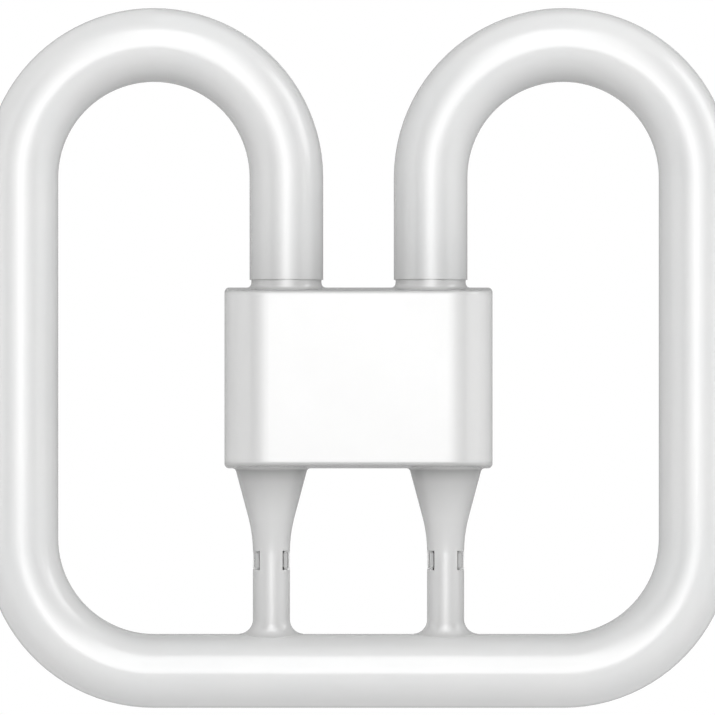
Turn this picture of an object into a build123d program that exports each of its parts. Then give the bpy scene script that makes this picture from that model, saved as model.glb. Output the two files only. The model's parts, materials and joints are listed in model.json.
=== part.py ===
from build123d import *
import os
from math import cos, radians, sin, tan

# Square compact fluorescent lamp: one glass tube bent into two loops, both ends held in a moulded cap,
# and two hollow struts that carry the tube's bottom run from the cap.
# Sizes are in millimetres. +X is to the right seen from the front, +Z is up and the front faces -Y.
# Every piece is made about the plane that parts the cap and the struts, y = 0, with the cap centred on z = 0,
# and is then moved so that the origin is at the middle of the base's seating face.

# Glass tube
TUBE_D = 13.9
TUBE_FORWARD = 2.0
BEND_R = 25.0
LEG_PITCH = 27.2
LEG_RUN = 20.7
NECK_D = 11.6
NECK_RUN = 3.6
SHOULDER_R = 0.06
PRESS_TAPER = 4.5
PRESS_W = 11.0
PRESS_T = 3.6
PRESS_RUN = 4.0
EXHAUST_D = 3.2
EXHAUST_RUN = 5.0

# Cap
CAP_W = 50.5
CAP_H = 34.2
CAP_DEPTH = 27.5
CAP_WALL = 1.5
CAP_RIM = 2.9
CAP_EDGE_R = 0.75
FRONT_DRAFT = 4.1
FRONT_LAND = 1.03
REAR_DRAFT = 2.0
REAR_SIDE_R = 3.0
PARTING_GAP = 0.15

# Collars round the tube's necks
COLLAR_STEP = 0.33
COLLAR_H = 1.4
COLLAR_FILLET = 1.0
NECK_CEMENT = 0.25

# Struts
STRUT_D = 7.0
STRUT_WALL = 1.1
STRUT_STRAIGHT = 15.3
STRUT_LAND = 0.44
TRUMPET_ANGLE = 15.0
TRUMPET_BLEND_R = 26.0
TRUMPET_FILLET = 0.75
TRUMPET_LAND = 3.06
FOOT_FILLET = 2.8
FOOT_LIP = 0.05
FOOT_TRIM = 0.25
FOOT_FLOOR = 2.8
GLUE_D = 6.0
GLUE_DEPTH = 0.25
NOTCH_H = 3.64
NOTCH_IN = 2.17
NOTCH_DROP = 1.4
TONGUE_END_GAP = 0.4
TONGUE_SIDE_GAP = 0.12
TONGUE_SINK = 0.25
TONGUE_RISE = 1.2

# Plug-in base
RECESS_W = 30.0
RECESS_H = 17.0
RECESS_D = 9.5
RECESS_CORNER_R = 2.5
RECESS_LEAD_IN = 0.6
LATCH_H = 7.0
LATCH_W = 2.2
LATCH_DEPTH = 3.2
PIN_PITCH = 8.0
PIN_D = 2.4
PIN_SHORT = 2.0
PIN_SHANK_D = 3.0
PIN_CLEARANCE = 0.02
PIN_FLANGE_D = 4.2
PIN_FLANGE_T = 0.8
PIN_TAIL_D = 1.6
PIN_TAIL = 1.8
BOSS_WALL = 1.1
BOSS_H = 2.0

# Starter gear inside the cap
STARTER_D = 7.6
STARTER_L = 17.0
STARTER_PRESS_W = 5.6
STARTER_PRESS_T = 2.4
STARTER_PRESS_L = 3.0
STARTER_LEAD_PITCH = 3.0
STARTER_CLEARANCE = 0.2
CRADLE_PITCH = 8.0
CRADLE_T = 1.2
CAPACITOR_W = 9.0
CAPACITOR_H = 7.0
CAPACITOR_T = 3.0
CAPACITOR_EDGE_R = 0.8
CAPACITOR_CLEARANCE = 0.2
CAPACITOR_LEAD_PITCH = 5.0
LEAD_D = 0.6
LEAD_PITCH = 6.8
LEAD_ROOM = 4.5
LEAD_BEND_R = 1.4
LEAD_WIDE_BEND_R = 4.0
JOINT_GAP = 0.05

# Places worked out from the sizes above
tube_r = TUBE_D / 2
tube_y = -TUBE_FORWARD
neck_r = NECK_D / 2
collar_r = tube_r - COLLAR_STEP
bore_r = neck_r + NECK_CEMENT
strut_r = STRUT_D / 2
leg_x = LEG_PITCH / 2
side_x = leg_x + 2 * BEND_R
cap_top = CAP_H / 2
cap_front = TUBE_FORWARD + collar_r + COLLAR_FILLET + FRONT_LAND + CAP_EDGE_R
cap_rear = CAP_DEPTH - cap_front
front_side_r = cap_front - CAP_RIM
trumpet_r = cap_front - CAP_EDGE_R - TRUMPET_FILLET - TRUMPET_LAND
strut_x = CAP_W / 2 - CAP_EDGE_R - TRUMPET_FILLET - STRUT_LAND - trumpet_r
trumpet_slope = radians(TRUMPET_ANGLE)
cone_narrowing = trumpet_r - strut_r - TRUMPET_BLEND_R * (1 - cos(trumpet_slope))
trumpet_end = -cap_top - cone_narrowing / tan(trumpet_slope) - TRUMPET_BLEND_R * sin(trumpet_slope)
bottom_z = trumpet_end - STRUT_STRAIGHT - tube_r
shoulder_z = cap_top + COLLAR_H
bend_z = cap_top + LEG_RUN
taper_z = cap_top - NECK_RUN
press_z = taper_z - PRESS_TAPER - PRESS_RUN
notch_z = trumpet_end - NOTCH_DROP
stem_top = trumpet_end - STRUT_STRAIGHT / 2
saddle_r = tube_r + FOOT_LIP
spread_r = strut_r + FOOT_FILLET
recess_y = cap_rear - RECESS_D
floor_y = recess_y - CAP_WALL
boss_y = floor_y - BOSS_H
boss_r = PIN_SHANK_D / 2 + PIN_CLEARANCE + BOSS_WALL
tail_y = boss_y - PIN_FLANGE_T - PIN_TAIL
pin_tip = cap_rear - PIN_SHORT
starter_y = CAP_WALL + STARTER_CLEARANCE + STARTER_D / 2 - cap_front
starter_foot = CAP_WALL + LEAD_ROOM - cap_top
bottle_z = starter_foot + STARTER_PRESS_L + STARTER_L / 2
capacitor_y = floor_y - CAPACITOR_T / 2
capacitor_foot = -boss_r - CAPACITOR_CLEARANCE - CAPACITOR_H
splice_z = starter_foot - LEAD_ROOM / 2
reach = 2 * (side_x + CAP_H)
sides = {"left": -1, "right": 1}


def kept(shape, side):
    """The part of a shape in front of the parting gap (side -1) or behind it (side 1)."""
    middle = side * (reach + PARTING_GAP) / 2
    return shape & Pos(0, middle, 0) * Box(reach, reach, reach)


def blended(base, added, radius):
    """Two shapes joined, with the seam between them filleted."""
    joined = base + added
    return fillet(new_edges(base, added, combined=joined), radius)


def cap_block(width, height, depth, side_r, draft, side):
    """Half of the cap from the parting plane to its face: round sides, drafted top and underside."""
    half = width / 2
    plan = Polyline((half, 0), (half, depth - side_r))
    plan += CenterArc((half - side_r, depth - side_r), side_r, 0, 90)
    plan += Line((half - side_r, depth), (side_r - half, depth))
    plan += CenterArc((side_r - half, depth - side_r), side_r, 90, 90)
    plan += Polyline((-half, depth - side_r), (-half, 0), (half, 0))
    slab = extrude(make_face(plan), height / 2, both=True)
    rise = height / 2 - depth * tan(radians(draft))
    wedge = Polyline((0, -height / 2), (0, height / 2), (depth, rise), (depth, -rise), (0, -height / 2))
    block = slab & extrude(Plane.YZ * make_face(wedge), half, both=True)
    return block if side > 0 else mirror(block, about=Plane.XZ)


def rounded_block(depth, side_r, draft, side):
    """The cap's outer block with its top and bottom edges rounded, up to the parting plane."""
    block = cap_block(CAP_W, CAP_H, depth, side_r, draft, side)
    faces = block.faces().sort_by(Axis.Z)
    rims = faces[0].edges() + faces[-1].edges()
    return fillet([rim for rim in rims if abs((rim @ 0.5).Y) > PARTING_GAP / 2], CAP_EDGE_R)


def strut_profile(inset, top, bottom):
    """Half section of a strut from a height inside the cap to one on its straight length."""
    straight = strut_r - inset
    blend_x = straight + TRUMPET_BLEND_R
    cone_x = blend_x - TRUMPET_BLEND_R * cos(trumpet_slope)
    cone = (cone_x, trumpet_end + TRUMPET_BLEND_R * sin(trumpet_slope))
    wide = trumpet_r - inset + (top + cap_top) * tan(trumpet_slope)
    outline = Polyline((0, bottom), (0, top), (wide, top), cone)
    outline += CenterArc((blend_x, trumpet_end), TRUMPET_BLEND_R, 180 - TRUMPET_ANGLE, TRUMPET_ANGLE)
    outline += Polyline((straight, trumpet_end), (straight, bottom), (0, bottom))
    return Plane.XZ * make_face(outline)


def tube_length(radius):
    """A round bar along the tube's bottom run, under a strut, at z = 0."""
    return Pos(0, tube_y, 0) * Rot(0, 90, 0) * Cylinder(radius, 4 * spread_r)


def glue():
    """The shallow pocket of cement between a strut's foot and the tube, with the tube at z = 0."""
    skin = tube_length(tube_r + GLUE_DEPTH) - tube_length(tube_r)
    return skin & Pos(0, 0, tube_r) * Cylinder(GLUE_D / 2, TUBE_D)


def foot(side):
    """Half of a strut's straight end, spread over the tube in a filleted saddle, with the tube at z = 0."""
    height = stem_top - bottom_z
    stem = Pos(0, 0, height / 2) * Cylinder(strut_r, height)
    spread = blended(kept(tube_length(saddle_r), side), kept(stem, side), FOOT_FILLET)
    squeeze = saddle_r / (saddle_r + FOOT_FILLET)
    sole = Ellipse(spread_r - FOOT_TRIM, spread_r * squeeze - FOOT_TRIM)
    column = extrude(Pos(0, tube_y * (1 - squeeze), 0) * sole, height)
    return (spread & column) - tube_length(tube_r) - glue()


def cover_form(side, depth, side_r, draft):
    """One cover's outer form: its half of the cap with half collars and half struts."""
    form = kept(rounded_block(depth, side_r, draft, side), side)
    collar_foot = cap_top - CAP_WALL
    collar = Cylinder(collar_r, shoulder_z - collar_foot)
    for x in (-leg_x, leg_x):
        half_collar = kept(Pos(x, tube_y, (shoulder_z + collar_foot) / 2) * collar, side)
        form = blended(form, half_collar, COLLAR_FILLET)
    trumpet = revolve(strut_profile(0, CAP_WALL - cap_top, stem_top), Axis.Z)
    for x in (-strut_x, strut_x):
        form = blended(form, Pos(x, 0, 0) * kept(trumpet, side), TRUMPET_FILLET)
        form += Pos(x, 0, bottom_z) * foot(side)
    return form


def cover_hollow(side, depth, side_r, draft):
    """The space inside one cover, open through its collars and down into its struts."""
    width = CAP_W - 2 * CAP_WALL
    height = CAP_H - 2 * CAP_WALL
    hollow = cap_block(width, height, depth - CAP_WALL, side_r - CAP_WALL, draft, side)
    bore = Cylinder(bore_r, 2 * (COLLAR_H + CAP_WALL))
    for x in (-leg_x, leg_x):
        hollow += Pos(x, tube_y, shoulder_z - COLLAR_H - CAP_WALL) * bore
    floor = bottom_z + tube_r + FOOT_FLOOR
    core = revolve(strut_profile(STRUT_WALL, 2 * CAP_WALL - cap_top, floor), Axis.Z)
    for x in (-strut_x, strut_x):
        hollow += Pos(x, 0, 0) * core
    return hollow


def front_cover():
    cover = cover_form(-1, cap_front, front_side_r, FRONT_DRAFT)
    cover -= cover_hollow(-1, cap_front, front_side_r, FRONT_DRAFT)
    notch = Pos(NOTCH_IN + strut_r, -strut_r, notch_z) * Box(STRUT_D, STRUT_D, NOTCH_H)
    for x in (-strut_x, strut_x):
        cover -= Pos(x, 0, 0) * notch
        cover -= Pos(x, 0, 0) * mirror(notch, about=Plane.YZ)
    rib_d = STARTER_CLEARANCE + STARTER_D / 2
    rib = Pos(0, starter_y - rib_d / 2, 0) * Box(STARTER_D, rib_d, CRADLE_T)
    seat = Pos(0, starter_y, 0) * Cylinder(STARTER_D / 2, CRADLE_T)
    for z in (bottle_z - CRADLE_PITCH / 2, bottle_z + CRADLE_PITCH / 2):
        cover += Pos(0, 0, z) * (rib - seat)
    return cover


def tongue():
    """A tab of the rear cover's strut wall that fills a notch of the front cover's strut."""
    height = NOTCH_H - 2 * TONGUE_END_GAP
    ring = Cylinder(strut_r - TONGUE_SINK, height) - Cylinder(strut_r - STRUT_WALL, height)
    inner = NOTCH_IN + TONGUE_SIDE_GAP
    depth = TONGUE_RISE + PARTING_GAP
    window = Pos(inner + strut_r, PARTING_GAP - depth / 2, 0) * Box(STRUT_D, depth, height)
    return Pos(0, 0, notch_z) * (ring & window)


def rear_cover():
    cover = cover_form(1, cap_rear, REAR_SIDE_R, REAR_DRAFT)
    well = RectangleRounded(RECESS_W + 2 * CAP_WALL, RECESS_H + 2 * CAP_WALL, RECESS_CORNER_R + CAP_WALL)
    well_block = extrude(Plane.XZ.offset(-floor_y) * well, -RECESS_D - CAP_WALL)
    cover -= cover_hollow(1, cap_rear, REAR_SIDE_R, REAR_DRAFT) - well_block
    mouth = RectangleRounded(RECESS_W, RECESS_H, RECESS_CORNER_R)
    recess = extrude(Plane.XZ.offset(-cap_rear) * mouth, RECESS_D)
    cover -= recess
    lip = cover.faces().sort_by(Axis.Y)[-1].inner_wires()[0].edges()
    cover = chamfer(lip, RECESS_LEAD_IN)
    latch = Box(RECESS_W + 2 * CAP_WALL + LATCH_W, LATCH_W, LATCH_H)
    cover -= Pos(0, cap_rear - LATCH_DEPTH - LATCH_W / 2, 0) * latch
    boss = Rot(90, 0, 0) * Cylinder(boss_r, BOSS_H)
    hole = Rot(90, 0, 0) * Cylinder(PIN_SHANK_D / 2 + PIN_CLEARANCE, recess_y - boss_y)
    for x in (-PIN_PITCH / 2, PIN_PITCH / 2):
        cover += Pos(x, floor_y - BOSS_H / 2, 0) * boss
        cover -= Pos(x, (recess_y + boss_y) / 2, 0) * hole
    for x in (-strut_x, strut_x):
        cover += Pos(x, 0, 0) * tongue()
        cover += Pos(x, 0, 0) * mirror(tongue(), about=Plane.YZ)
    return cover


def tube_end():
    """A tube end inside the cap: the neck, the flattened press and the stub it was pumped through."""
    neck = Pos(0, 0, (shoulder_z + taper_z) / 2) * Cylinder(neck_r, shoulder_z - taper_z)
    flat = Ellipse(PRESS_W / 2, PRESS_T / 2)
    press_top = press_z + PRESS_RUN
    taper = loft([Pos(0, 0, taper_z) * Circle(neck_r), Pos(0, 0, press_top) * flat])
    press = extrude(Pos(0, 0, press_z) * flat, PRESS_RUN)
    stub_r = EXHAUST_D / 2
    stub = Pos(0, 0, press_z - EXHAUST_RUN / 2) * Cylinder(stub_r, EXHAUST_RUN)
    tip = Pos(0, 0, press_z - EXHAUST_RUN) * Sphere(stub_r)
    return neck + taper + press + stub + tip


def discharge_tube():
    """The glass tube: two legs, two half-round bends, two side runs, two corners and a bottom run."""
    corner_z = bottom_z + BEND_R
    bend_x = leg_x + BEND_R
    route = Line((-leg_x, shoulder_z), (-leg_x, bend_z))
    route += CenterArc((-bend_x, bend_z), BEND_R, 0, 180)
    route += Line((-side_x, bend_z), (-side_x, corner_z))
    route += CenterArc((-bend_x, corner_z), BEND_R, 180, 90)
    route += Line((-bend_x, bottom_z), (bend_x, bottom_z))
    route += CenterArc((bend_x, corner_z), BEND_R, 270, 90)
    route += Line((side_x, corner_z), (side_x, bend_z))
    route += CenterArc((bend_x, bend_z), BEND_R, 0, 180)
    route += Line((leg_x, bend_z), (leg_x, shoulder_z))
    tube = sweep(Pos(-leg_x, 0, shoulder_z) * Circle(tube_r), path=Plane.XZ * route)
    shoulders = tube.edges().filter_by(lambda edge: abs(edge.center().Z - shoulder_z) < SHOULDER_R / 2)
    tube = fillet(shoulders, SHOULDER_R)
    for side in sides.values():
        tube += Pos(side * leg_x, 0, 0) * tube_end()
    return Pos(0, tube_y, 0) * tube


def tube_cement():
    """The ring of cement between a tube's neck and its collar."""
    low = cap_top - CAP_WALL
    ring = Cylinder(bore_r, shoulder_z - low) - Cylinder(neck_r, shoulder_z - low)
    return Pos(0, 0, (shoulder_z + low) / 2) * ring


def contact_pin():
    """A round-ended pin on a shank through the recess floor, flanged inside, with a tail for the lead."""
    dome = pin_tip - PIN_D / 2
    pin = Pos(0, 0, (recess_y + dome) / 2) * Cylinder(PIN_D / 2, dome - recess_y)
    pin += Pos(0, 0, dome) * Sphere(PIN_D / 2)
    pin += Pos(0, 0, (boss_y + recess_y) / 2) * Cylinder(PIN_SHANK_D / 2, recess_y - boss_y)
    pin += Pos(0, 0, boss_y - PIN_FLANGE_T / 2) * Cylinder(PIN_FLANGE_D / 2, PIN_FLANGE_T)
    pin += Pos(0, 0, tail_y + PIN_TAIL / 2) * Cylinder(PIN_TAIL_D / 2, PIN_TAIL)
    return Rot(-90, 0, 0) * pin


def glow_starter():
    """The starter's sealed bottle, standing on its press."""
    straight = STARTER_L - STARTER_D / 2
    foot_z = bottle_z - STARTER_L / 2
    bottle = Pos(0, 0, foot_z + straight / 2) * Cylinder(STARTER_D / 2, straight)
    bottle += Pos(0, 0, foot_z + straight) * Sphere(STARTER_D / 2)
    press = Box(STARTER_PRESS_W, STARTER_PRESS_T, STARTER_PRESS_L)
    bottle += Pos(0, 0, starter_foot + STARTER_PRESS_L / 2) * press
    return Pos(0, starter_y, 0) * bottle


def wire(*points, radius):
    """A bare wire along straight runs and round bends."""
    route = FilletPolyline(*points, radius=radius)
    return sweep(Plane(route @ 0, z_dir=route % 0) * Circle(LEAD_D / 2), path=route)


def starter_capacitor():
    """The moulded capacitor across the starter, with its two leads."""
    body = Box(CAPACITOR_W, CAPACITOR_T, CAPACITOR_H)
    body = fillet(body.edges().filter_by(Axis.Y), CAPACITOR_EDGE_R)
    capacitor = Pos(0, capacitor_y, capacitor_foot + CAPACITOR_H / 2) * body
    splice_y = starter_y + LEAD_D + JOINT_GAP
    for x in (-CAPACITOR_LEAD_PITCH / 2, CAPACITOR_LEAD_PITCH / 2):
        start = (x, capacitor_y, capacitor_foot)
        capacitor += wire(start, (x, capacitor_y, splice_z), (x, splice_y, splice_z), radius=LEAD_BEND_R)
    return capacitor


def pin_lead(side):
    """The lead from a tube end's inner wire to its contact pin."""
    pin_x = side * PIN_PITCH / 2
    lead_x = side * (leg_x - LEAD_PITCH / 2)
    points = [(lead_x, tube_y, press_z), (lead_x, tube_y, 0), (pin_x, tube_y, 0), (pin_x, tail_y, 0)]
    return wire(*points, radius=LEAD_BEND_R)


def starter_lead(side):
    """The lead from a tube end's outer wire down and across to the starter."""
    lead_x = side * (leg_x + LEAD_PITCH / 2)
    turn_x = side * leg_x
    end_x = side * STARTER_LEAD_PITCH / 2
    points = [
        (lead_x, tube_y, press_z),
        (lead_x, tube_y, 0),
        (turn_x, starter_y, splice_z),
        (end_x, starter_y, splice_z),
        (end_x, starter_y, starter_foot),
    ]
    return wire(*points, radius=[LEAD_WIDE_BEND_R, LEAD_BEND_R, LEAD_BEND_R])


pieces = {
    "discharge_tube": discharge_tube(),
    "front_cover": front_cover(),
    "rear_cover": rear_cover(),
    "glow_starter": glow_starter(),
    "starter_capacitor": starter_capacitor(),
}
for name, side in sides.items():
    pieces[f"{name}_tube_cement"] = Pos(side * leg_x, tube_y, 0) * tube_cement()
    pieces[f"{name}_foot_cement"] = Pos(side * strut_x, 0, bottom_z) * glue()
    pieces[f"{name}_contact_pin"] = Pos(side * PIN_PITCH / 2, 0, 0) * contact_pin()
    pieces[f"{name}_pin_lead"] = pin_lead(side)
    pieces[f"{name}_starter_lead"] = starter_lead(side)

os.makedirs("parts", exist_ok=True)
for name, piece in pieces.items():
    export_step(Pos(0, -cap_rear, 0) * piece, f"parts/{name}.step")
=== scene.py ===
import json
from math import cos, radians, sin
import bpy
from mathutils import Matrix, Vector


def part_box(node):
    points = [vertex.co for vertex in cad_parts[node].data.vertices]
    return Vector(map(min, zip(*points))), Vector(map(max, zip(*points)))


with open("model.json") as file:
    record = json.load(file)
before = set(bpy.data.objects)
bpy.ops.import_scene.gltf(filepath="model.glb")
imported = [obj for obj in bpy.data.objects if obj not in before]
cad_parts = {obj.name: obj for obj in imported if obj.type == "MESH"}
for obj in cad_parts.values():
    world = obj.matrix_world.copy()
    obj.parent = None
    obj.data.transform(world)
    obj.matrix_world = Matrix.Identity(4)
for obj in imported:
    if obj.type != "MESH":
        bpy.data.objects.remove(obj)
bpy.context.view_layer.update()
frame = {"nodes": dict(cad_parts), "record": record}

# Lengths are in metres and angles in degrees. Turns go from the front to the right.

# View at the plane of the tube's axes
VIEW_SPAN = 0.13485
VIEW_RIGHT = -0.00019
VIEW_UP = 0.00386
LENS_MM = 200.0
SENSOR_MM = 36.0
FAR_CLIP = 20.0

# Noise in the materials
NOISE_LOW = 0.3
NOISE_HIGH = 0.7
TONE_DETAIL = 3
FINE_DETAIL = 2

# Painted shade on the plastic by height: the struts darker, most of all just under the cap, and
# the cap's top and bottom edges and the collars darker than the cap's walls
PLASTIC_SHADE_BY_HEIGHT = (
    (-0.0600, 0.86),
    (-0.0460, 0.87),
    (-0.0400, 0.91),
    (-0.0260, 0.91),
    (-0.0195, 0.77),
    (-0.0180, 0.63),
    (-0.0172, 0.50),
    (-0.0171, 0.95),
    (-0.0166, 0.90),
    (-0.0163, 0.78),
    (-0.0158, 0.80),
    (-0.0154, 1.00),
    (0.0158, 1.00),
    (0.0163, 0.70),
    (0.0168, 0.68),
    (0.0171, 0.80),
    (0.0600, 0.84),
)

# Painted light on the plastic across the lamp: lighter at the cap's sides than in the middle
PAINTED_LIGHT_ON_CAP_SIDES = (
    (-0.0260, 1.000),
    (-0.0235, 1.000),
    (-0.0228, 0.955),
    (-0.0220, 0.930),
    (-0.0210, 0.900),
    (-0.0200, 0.880),
    (0.0200, 0.880),
    (0.0210, 0.900),
    (0.0220, 0.930),
    (0.0228, 0.955),
    (0.0235, 1.000),
    (0.0260, 1.000),
)

# Painted shade on the snap tongues by depth, where they sit deep in their notches
TONGUE_PAINTED_SHADE = (
    (-0.0300, 0.42),
    (-0.0163, 0.42),
    (-0.0160, 1.00),
    (0.0000, 1.00),
)

# Painted shade on the tube's two ends by height, darker towards the cap, and how far the shade
# reaches to the sides
LEG_PAINTED_SHADE = (
    (-0.080, 1.00),
    (0.000, 1.00),
    (0.001, 0.78),
    (0.017, 0.80),
    (0.028, 0.92),
    (0.038, 0.98),
    (0.048, 1.00),
    (0.080, 1.00),
)
LEG_SHADE_REACH = (
    (-0.040, 1.00),
    (-0.030, 0.00),
    (0.030, 0.00),
    (0.040, 1.00),
)

# Soft sky for matt surfaces, as lobes: turn, rise, strength
SKY_LOBES = (
    (0, 0, 0.25),
    (-45, 0, 0.33),
    (45, -45, 0.80),
    (90, 0, 1.00),
    (135, 0, 1.60),
    (-135, 0, 2.55),
)
SKY_SHARPNESS = 6
WHITE = (1, 1, 1, 1)

# Curved softboxes
BOX_DISTANCE = 1.2
BOX_COLUMNS = 24
BOX_ROWS = 12

# Softbox in front of the lamp, brightest along its upright middle
CARD_TURNS = (-50.0, 50.0)
CARD_RISES = (-6.0, 49.0)
CARD_SPREAD = 15.5
CARD_STRENGTH = 4.1

# Softbox on the upper right, seen only in reflections
SIDE_TURNS = (66.0, 90.0)
SIDE_RISES = (12.0, 46.0)
SIDE_STRENGTH = 2.8

# Round softbox straight in front
ROUND_DISTANCE = 1.0
ROUND_R = 0.25
ROUND_SIDES = 48
ROUND_STRENGTH = 0.8

# Strips of light round the lamp, facing in, and those that stay out of reflections
RING_GAP = 0.010
RING_DEPTH = 0.024
RING_STEPS = 8
TUBE_CORNER = 0.03195
RING = {
    "right": 1.10,
    "top_right": 0.60,
    "top": 0.52,
    "top_left": 0.57,
    "left": 0.85,
    "bottom_left": 0.67,
    "bottom": 0.71,
    "bottom_right": 0.71,
}
RING_UNSEEN = ("top", "top_right")

# Grey panel behind the lamp, seen only in reflections
PANEL_BACK = 0.06
PANEL_SIDE = 0.5
PANEL_STRENGTH = 0.4

# Lamp behind, for the base's side
BACK_DISTANCE = 0.9
BACK_RISE = 25.0
BACK_SIZE = 0.2
BACK_POWER = 1.6

# Floor under the lamp
FLOOR_DROP = 0.19
FLOOR_R = 0.42
FLOOR_SOLID = 0.45
FLOOR_SIDES = 96
FLOOR_TONE = (0.9, 0.9, 0.9, 1)

tube_low, tube_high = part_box("discharge_tube")
tube_plane = (tube_low[1] + tube_high[1]) / 2
middle = Vector((0, tube_plane, 0))


def new_tree(block):
    """An empty node tree for a material or a world."""
    block.use_nodes = True
    block.node_tree.nodes.clear()
    return block.node_tree


def node(tree, kind, **values):
    """A node with some of its inputs or settings given by name."""
    made = tree.nodes.new(kind)
    for name, value in values.items():
        if hasattr(made, name):
            setattr(made, name, value)
        else:
            made.inputs[name.replace("_", " ").title()].default_value = value
    return made


def link(tree, source, target):
    tree.links.new(source, target)


def worked(tree, operation, first, second=0):
    """One value worked with another value or a number."""
    made = node(tree, "ShaderNodeMath", operation=operation)
    link(tree, first, made.inputs[0])
    if isinstance(second, (int, float)):
        made.inputs[1].default_value = second
    else:
        link(tree, second, made.inputs[1])
    return made.outputs[0]


def lamp_axis(tree, axis):
    """The place along one axis of the lamp."""
    place = node(tree, "ShaderNodeTexCoord")
    axes = node(tree, "ShaderNodeSeparateXYZ")
    link(tree, place.outputs["Object"], axes.inputs[0])
    return axes.outputs[axis]


def stretched(tree, value, before, after, blend="LINEAR"):
    """A value moved from one range to another."""
    span = node(tree, "ShaderNodeMapRange", interpolation_type=blend)
    span.inputs["From Min"].default_value = before[0]
    span.inputs["From Max"].default_value = before[1]
    span.inputs["To Min"].default_value = after[0]
    span.inputs["To Max"].default_value = after[1]
    link(tree, value, span.inputs["Value"])
    return span.outputs["Result"]


def noise(tree, scale, detail):
    """A noise field fixed to the lamp, with features of about 1 / scale metres."""
    place = node(tree, "ShaderNodeTexCoord")
    field = node(tree, "ShaderNodeTexNoise", scale=scale, detail=detail)
    link(tree, place.outputs["Object"], field.inputs["Vector"])
    return field.outputs["Fac"]


def ramp(tree, factor, stops):
    """Colours along a value from 0 to 1, through (value, colour) stops."""
    made = node(tree, "ShaderNodeValToRGB")
    while len(made.color_ramp.elements) < len(stops):
        made.color_ramp.elements.new(1)
    for element, (value, colour) in zip(made.color_ramp.elements, stops):
        element.position = value
        element.color = (*colour, 1)
    link(tree, factor, made.inputs["Fac"])
    return made.outputs["Color"]


def ramp_along(tree, axis, stops):
    """A grey that follows one axis of the lamp, through (place, level) stops."""
    first = stops[0][0]
    last = stops[-1][0]
    along = stretched(tree, lamp_axis(tree, axis), (first, last), (0, 1))
    greys = [((place - first) / (last - first), [level] * 3) for place, level in stops]
    return ramp(tree, along, greys)


def blended(tree, blend, first, second):
    """Two colours blended in full."""
    mix = node(tree, "ShaderNodeMixRGB", blend_type=blend)
    mix.inputs["Fac"].default_value = 1
    link(tree, first, mix.inputs["Color1"])
    link(tree, second, mix.inputs["Color2"])
    return mix.outputs["Color"]


def leg_shade(tree):
    """Painted shade on the tube's two ends, darker towards the cap."""
    shade_by_height = ramp_along(tree, "Z", LEG_PAINTED_SHADE)
    return blended(tree, "LIGHTEN", shade_by_height, ramp_along(tree, "X", LEG_SHADE_REACH))


def painted_plastic_light_and_shade(tree):
    """Painted light and shade on the plastic: darker struts, edges and collars, lighter cap sides.
    """
    shade_by_height = ramp_along(tree, "Z", PLASTIC_SHADE_BY_HEIGHT)
    return blended(tree, "MULTIPLY", shade_by_height, ramp_along(tree, "X", PAINTED_LIGHT_ON_CAP_SIDES))


def tongue_shade(tree):
    """The same painted light and shade for the rear half, with painted shade on the tongues."""
    shade_by_depth = ramp_along(tree, "Y", TONGUE_PAINTED_SHADE)
    return blended(tree, "MULTIPLY", painted_plastic_light_and_shade(tree), shade_by_depth)


def surface(name, dark, light, tone_scale, rough, rough_scale, grain, shade=None, **shader):
    """A material with slow changes of tone, uneven gloss and a fine relief.

    The grain of the relief is its scale, depth and strength.
    """
    made = bpy.data.materials.new(name)
    tree = new_tree(made)
    bsdf = node(tree, "ShaderNodeBsdfPrincipled")
    for label, value in shader.items():
        bsdf.inputs[label.replace("_", " ")].default_value = value
    tones = ((NOISE_LOW, dark), (NOISE_HIGH, light))
    tone = ramp(tree, noise(tree, tone_scale, TONE_DETAIL), tones)
    # A shade, where given, is painted light and shade multiplied into the tone.
    if shade:
        tone = blended(tree, "MULTIPLY", tone, shade(tree))
    link(tree, tone, bsdf.inputs["Base Color"])
    patches = noise(tree, rough_scale, FINE_DETAIL)
    gloss = stretched(tree, patches, (NOISE_LOW, NOISE_HIGH), rough)
    link(tree, gloss, bsdf.inputs["Roughness"])
    scale, depth, strength = grain
    relief = node(tree, "ShaderNodeBump", distance=depth, strength=strength)
    link(tree, noise(tree, scale, FINE_DETAIL), relief.inputs["Height"])
    link(tree, relief.outputs["Normal"], bsdf.inputs["Normal"])
    out = node(tree, "ShaderNodeOutputMaterial")
    link(tree, bsdf.outputs["BSDF"], out.inputs["Surface"])
    return made


def coated_glass():
    """White phosphor seen through a clear, faintly wavy glass wall."""
    return surface(
        "coated_glass",
        dark=(0.755, 0.76, 0.76),
        light=(0.775, 0.775, 0.772),
        tone_scale=70,
        rough=(0.22, 0.26),
        rough_scale=160,
        grain=(60, 0.0002, 0.02),
        # painted shade on the tube's ends near the cap
        shade=leg_shade,
        Coat_Weight=1.0,
        Coat_Roughness=0.2,
        Coat_IOR=1.5,
    )


def cap_plastic(name, shade):
    """Glossy white moulding, with the faint unevenness of a polished tool."""
    return surface(
        name,
        dark=(0.807, 0.807, 0.8035),
        light=(0.824, 0.824, 0.8216),
        tone_scale=90,
        rough=(0.2, 0.25),
        rough_scale=400,
        grain=(3000, 0.00002, 0.03),
        # painted light and shade on the plastic
        shade=shade,
        Coat_Weight=1.0,
        Coat_Roughness=0.2,
        Coat_IOR=1.55,
    )


def cement():
    """Matt, grainy cement."""
    return surface(
        "cement",
        dark=(0.68, 0.67, 0.63),
        light=(0.78, 0.77, 0.73),
        tone_scale=900,
        rough=(0.75, 0.9),
        rough_scale=600,
        grain=(2500, 0.0001, 0.4),
    )


def pin_brass():
    """Drawn brass, a little dulled."""
    return surface(
        "pin_brass",
        dark=(0.66, 0.46, 0.20),
        light=(0.78, 0.58, 0.28),
        tone_scale=500,
        rough=(0.22, 0.36),
        rough_scale=900,
        grain=(2200, 0.00002, 0.15),
        Metallic=1.0,
    )


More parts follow.
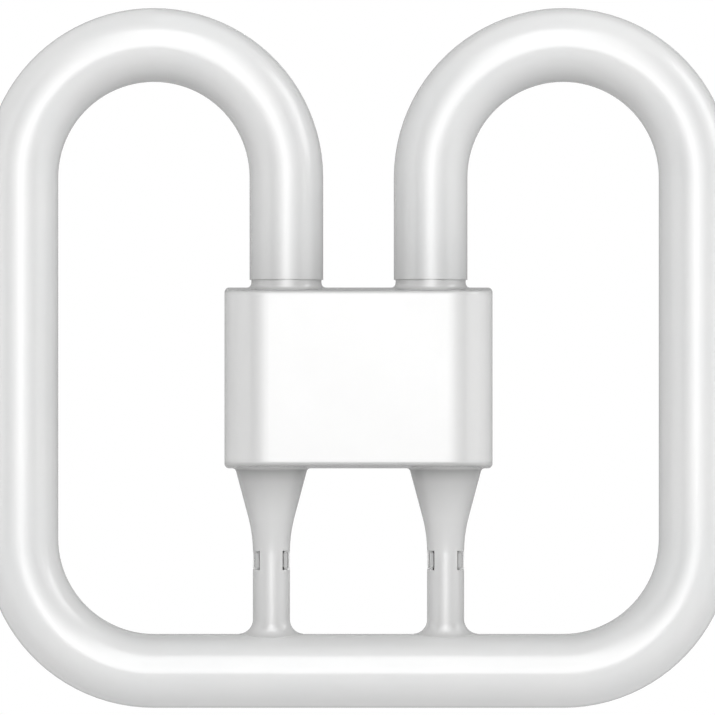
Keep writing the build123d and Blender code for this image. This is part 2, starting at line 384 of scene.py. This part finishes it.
def lead_wire():
    """Nickel-plated wire."""
    return surface(
        "lead_wire",
        dark=(0.58, 0.57, 0.55),
        light=(0.68, 0.67, 0.65),
        tone_scale=600,
        rough=(0.25, 0.35),
        rough_scale=900,
        grain=(3000, 0.00001, 0.1),
        Metallic=1.0,
    )


def starter_glass():
    """The starter's glass bottle, milky from the getter inside."""
    return surface(
        "starter_glass",
        dark=(0.62, 0.66, 0.65),
        light=(0.78, 0.80, 0.79),
        tone_scale=300,
        rough=(0.08, 0.14),
        rough_scale=300,
        grain=(200, 0.0001, 0.05),
    )


def capacitor_shell():
    """Dipped brown resin."""
    return surface(
        "capacitor_shell",
        dark=(0.17, 0.075, 0.03),
        light=(0.22, 0.10, 0.04),
        tone_scale=400,
        rough=(0.25, 0.35),
        rough_scale=500,
        grain=(500, 0.0001, 0.1),
    )


def direction(turn, rise):
    """The way out from the lamp at a turn and a rise."""
    flat = cos(radians(rise))
    return Vector((flat * sin(radians(turn)), -flat * cos(radians(turn)), sin(radians(rise))))


def lobe(tree, way, turn, rise):
    """A soft patch of sky about one direction, 1 at its middle."""
    facing = node(tree, "ShaderNodeVectorMath", operation="DOT_PRODUCT")
    link(tree, way, facing.inputs[0])
    facing.inputs[1].default_value = direction(turn, rise)
    ahead = worked(tree, "MAXIMUM", facing.outputs["Value"], 0)
    return worked(tree, "POWER", ahead, SKY_SHARPNESS)


def seen_ray(tree):
    """1 for rays from the camera, a reflection or glass, and 0 for light on matt surfaces."""
    path = node(tree, "ShaderNodeLightPath").outputs
    straight = worked(tree, "MAXIMUM", path["Is Camera Ray"], path["Is Glossy Ray"])
    return worked(tree, "MAXIMUM", straight, path["Is Transmission Ray"])


def light_sky():
    """White behind the lamp and in reflections; soft light in lobes for matt surfaces."""
    world = bpy.data.worlds.new("studio")
    bpy.context.scene.world = world
    tree = new_tree(world)
    way = node(tree, "ShaderNodeTexCoord").outputs["Generated"]
    level = None
    for turn, rise, strength in SKY_LOBES:
        patch = worked(tree, "MULTIPLY", lobe(tree, way, turn, rise), strength)
        level = worked(tree, "ADD", patch, level) if level else patch
    soft = node(tree, "ShaderNodeBackground")
    soft.inputs["Color"].default_value = WHITE
    link(tree, level, soft.inputs["Strength"])
    white = node(tree, "ShaderNodeBackground", strength=1)
    white.inputs["Color"].default_value = WHITE
    mix = node(tree, "ShaderNodeMixShader")
    link(tree, seen_ray(tree), mix.inputs[0])
    link(tree, soft.outputs[0], mix.inputs[1])
    link(tree, white.outputs[0], mix.inputs[2])
    out = node(tree, "ShaderNodeOutputWorld")
    link(tree, mix.outputs[0], out.inputs["Surface"])


def glowing(name, points, faces, diffuse=True, glossy=True):
    """The emission of a card of light that no camera sees and that casts no shadow."""
    mesh = bpy.data.meshes.new(name)
    mesh.from_pydata(points, [], faces)
    card = bpy.data.objects.new(name, mesh)
    bpy.context.collection.objects.link(card)
    glow = bpy.data.materials.new(name)
    tree = new_tree(glow)
    emission = node(tree, "ShaderNodeEmission")
    out = node(tree, "ShaderNodeOutputMaterial")
    link(tree, emission.outputs[0], out.inputs["Surface"])
    mesh.materials.append(glow)
    card.visible_camera = False
    card.visible_diffuse = diffuse
    card.visible_glossy = glossy
    card.visible_transmission = False
    card.visible_shadow = False
    return emission


def sheet_faces(columns, rows):
    """The quads of a sheet whose points run up each column in turn."""
    faces = []
    for column in range(columns):
        for row in range(rows):
            first = column * (rows + 1) + row
            faces.append((first, first + 1, first + rows + 2, first + rows + 1))
    return faces


def softbox(name, turns, rises, diffuse=True):
    """The emission of a curved softbox that faces the lamp, between two turns and two rises."""
    points = []
    for column in range(BOX_COLUMNS + 1):
        turn = turns[0] + (turns[1] - turns[0]) * column / BOX_COLUMNS
        for row in range(BOX_ROWS + 1):
            rise = rises[0] + (rises[1] - rises[0]) * row / BOX_ROWS
            points.append(middle + BOX_DISTANCE * direction(turn, rise))
    return glowing(name, points, sheet_faces(BOX_COLUMNS, BOX_ROWS), diffuse)


def highlight_card():
    """A softbox in front of the lamp that fades out to both sides."""
    emission = softbox("highlight_card", CARD_TURNS, CARD_RISES)
    tree = emission.id_data
    aside = lamp_axis(tree, "X")
    spread = BOX_DISTANCE * sin(radians(CARD_SPREAD))
    squared = worked(tree, "MULTIPLY", aside, aside)
    falling = worked(tree, "MULTIPLY", squared, -1 / (2 * spread**2))
    bell = worked(tree, "EXPONENT", falling)
    level = worked(tree, "MULTIPLY", bell, CARD_STRENGTH)
    link(tree, level, emission.inputs["Strength"])


def side_card():
    """A softbox on the upper right that draws a second streak on the tube's shoulders."""
    emission = softbox("side_card", SIDE_TURNS, SIDE_RISES, diffuse=False)
    emission.inputs["Strength"].default_value = SIDE_STRENGTH


def round_card():
    """A round softbox straight in front that fades out to its rim and lets other light through."""
    centre = middle + ROUND_DISTANCE * direction(0, 0)
    points = [centre]
    for step in range(ROUND_SIDES):
        turn = radians(360 * step / ROUND_SIDES)
        points.append(centre + ROUND_R * Vector((cos(turn), 0, sin(turn))))
    faces = [(0, 1 + step, 1 + (step + 1) % ROUND_SIDES) for step in range(ROUND_SIDES)]
    emission = glowing("round_card", points, faces)
    tree = emission.id_data
    away = node(tree, "ShaderNodeVectorMath", operation="DISTANCE")
    away.inputs[1].default_value = centre
    link(tree, node(tree, "ShaderNodeTexCoord").outputs["Object"], away.inputs[0])
    fade = stretched(tree, away.outputs["Value"], (ROUND_R, 0), (0, ROUND_STRENGTH), "SMOOTHSTEP")
    link(tree, fade, emission.inputs["Strength"])
    clear = node(tree, "ShaderNodeBsdfTransparent")
    both = node(tree, "ShaderNodeAddShader")
    outlet = emission.outputs[0].links[0].to_socket
    link(tree, emission.outputs[0], both.inputs[0])
    link(tree, clear.outputs[0], both.inputs[1])
    link(tree, both.outputs[0], outlet)


def ring_corners():
    """The ring's four rounded corners as lists of (x, z) points, from the right over the top."""
    far = tube_high[0] - TUBE_CORNER
    top = tube_high[2] - TUBE_CORNER
    bottom = tube_low[2] + TUBE_CORNER
    centres = {
        "top_right": (far, top),
        "top_left": (-far, top),
        "bottom_left": (-far, bottom),
        "bottom_right": (far, bottom),
    }
    reach = TUBE_CORNER + RING_GAP
    corners = {}
    for quarter, (name, (x, z)) in enumerate(centres.items()):
        turns = [radians(90 * (quarter + step / RING_STEPS)) for step in range(RING_STEPS + 1)]
        corners[name] = [(x + reach * cos(turn), z + reach * sin(turn)) for turn in turns]
    return corners


def light_ring():
    """Strips of light all round the lamp's outline, each with a strength of its own."""
    runs = ring_corners()
    names = list(runs)
    sides = ("right", "top", "left", "bottom")
    for side, before, after in zip(sides, (names[-1], *names), names):
        runs[side] = [runs[before][-1], runs[after][0]]
    for name, run in runs.items():
        points = []
        for x, z in run:
            points.append((x, tube_plane - RING_DEPTH / 2, z))
            points.append((x, tube_plane + RING_DEPTH / 2, z))
        faces = sheet_faces(len(run) - 1, 1)
        emission = glowing("ring_" + name, points, faces, glossy=name not in RING_UNSEEN)
        emission.inputs["Strength"].default_value = RING[name]


def grey_panel():
    """An upright panel behind the lamp that keeps its edges dark in reflections."""
    half = PANEL_SIDE / 2
    points = [(x, tube_plane + PANEL_BACK, z) for x in (-half, half) for z in (-half, half)]
    emission = glowing("grey_panel", points, sheet_faces(1, 1), diffuse=False)
    emission.inputs["Strength"].default_value = PANEL_STRENGTH


def aim(thing, target):
    """Turns a lamp or camera so that it looks at a point."""
    thing.rotation_euler = (target - thing.location).to_track_quat("-Z", "Y").to_euler()


def back_lamp():
    """A soft lamp behind, which reaches only what faces away from the front."""
    data = bpy.data.lights.new("back_lamp", "AREA")
    data.size = BACK_SIZE
    data.energy = BACK_POWER
    lamp = bpy.data.objects.new("back_lamp", data)
    lamp.location = middle + BACK_DISTANCE * direction(180, BACK_RISE)
    aim(lamp, middle)
    lamp.visible_camera = False
    lamp.visible_glossy = False
    bpy.context.collection.objects.link(lamp)


def floor():
    """A round pale floor below the lamp that fades out at its rim."""
    bpy.ops.mesh.primitive_circle_add(vertices=FLOOR_SIDES, radius=FLOOR_R, fill_type="NGON")
    disc = bpy.context.object
    disc.name = "floor"
    disc.location = (0, tube_plane, tube_low[2] - FLOOR_DROP)
    pale = bpy.data.materials.new("floor")
    tree = new_tree(pale)
    length = node(tree, "ShaderNodeVectorMath", operation="LENGTH")
    link(tree, node(tree, "ShaderNodeTexCoord").outputs["Object"], length.inputs[0])
    rim = (FLOOR_SOLID * FLOOR_R, FLOOR_R)
    fade = stretched(tree, length.outputs["Value"], rim, (0, 1), "SMOOTHSTEP")
    paint = node(tree, "ShaderNodeBsdfDiffuse")
    paint.inputs["Color"].default_value = FLOOR_TONE
    clear = node(tree, "ShaderNodeBsdfTransparent")
    mix = node(tree, "ShaderNodeMixShader")
    link(tree, fade, mix.inputs[0])
    link(tree, paint.outputs[0], mix.inputs[1])
    link(tree, clear.outputs[0], mix.inputs[2])
    out = node(tree, "ShaderNodeOutputMaterial")
    link(tree, mix.outputs[0], out.inputs["Surface"])
    disc.data.materials.append(pale)


def camera():
    """Straight in front, at the photograph's scale, through a long lens."""
    data = bpy.data.cameras.new("camera")
    data.lens = LENS_MM
    data.sensor_width = SENSOR_MM
    data.clip_end = FAR_CLIP
    distance = VIEW_SPAN * LENS_MM / SENSOR_MM
    eye = bpy.data.objects.new("camera", data)
    eye.location = (VIEW_RIGHT, tube_plane - distance, VIEW_UP)
    aim(eye, Vector((VIEW_RIGHT, tube_plane, VIEW_UP)))
    bpy.context.collection.objects.link(eye)
    bpy.context.scene.camera = eye


finishes = {
    "coated_glass": coated_glass(),
    # the cap's plastic carries painted light and shade
    "cap_plastic": cap_plastic("cap_plastic", painted_plastic_light_and_shade),
    "cement": cement(),
    "pin_brass": pin_brass(),
    "lead_wire": lead_wire(),
    "starter_glass": starter_glass(),
    "capacitor_shell": capacitor_shell(),
}
for row in frame["record"]["subparts"]:
    piece = frame["nodes"][row["node"]]
    piece.data.materials.clear()
    piece.data.materials.append(finishes[row["material_slot"]])
# The rear half gets a copy of the plastic with painted shade on its snap tongues.
frame["nodes"]["rear_cover"].data.materials[0] = cap_plastic("rear_plastic_painted_shade", tongue_shade)

light_sky()
highlight_card()
side_card()
round_card()
light_ring()
grey_panel()
back_lamp()
floor()
camera()
bpy.context.scene.view_settings.view_transform = "Standard"
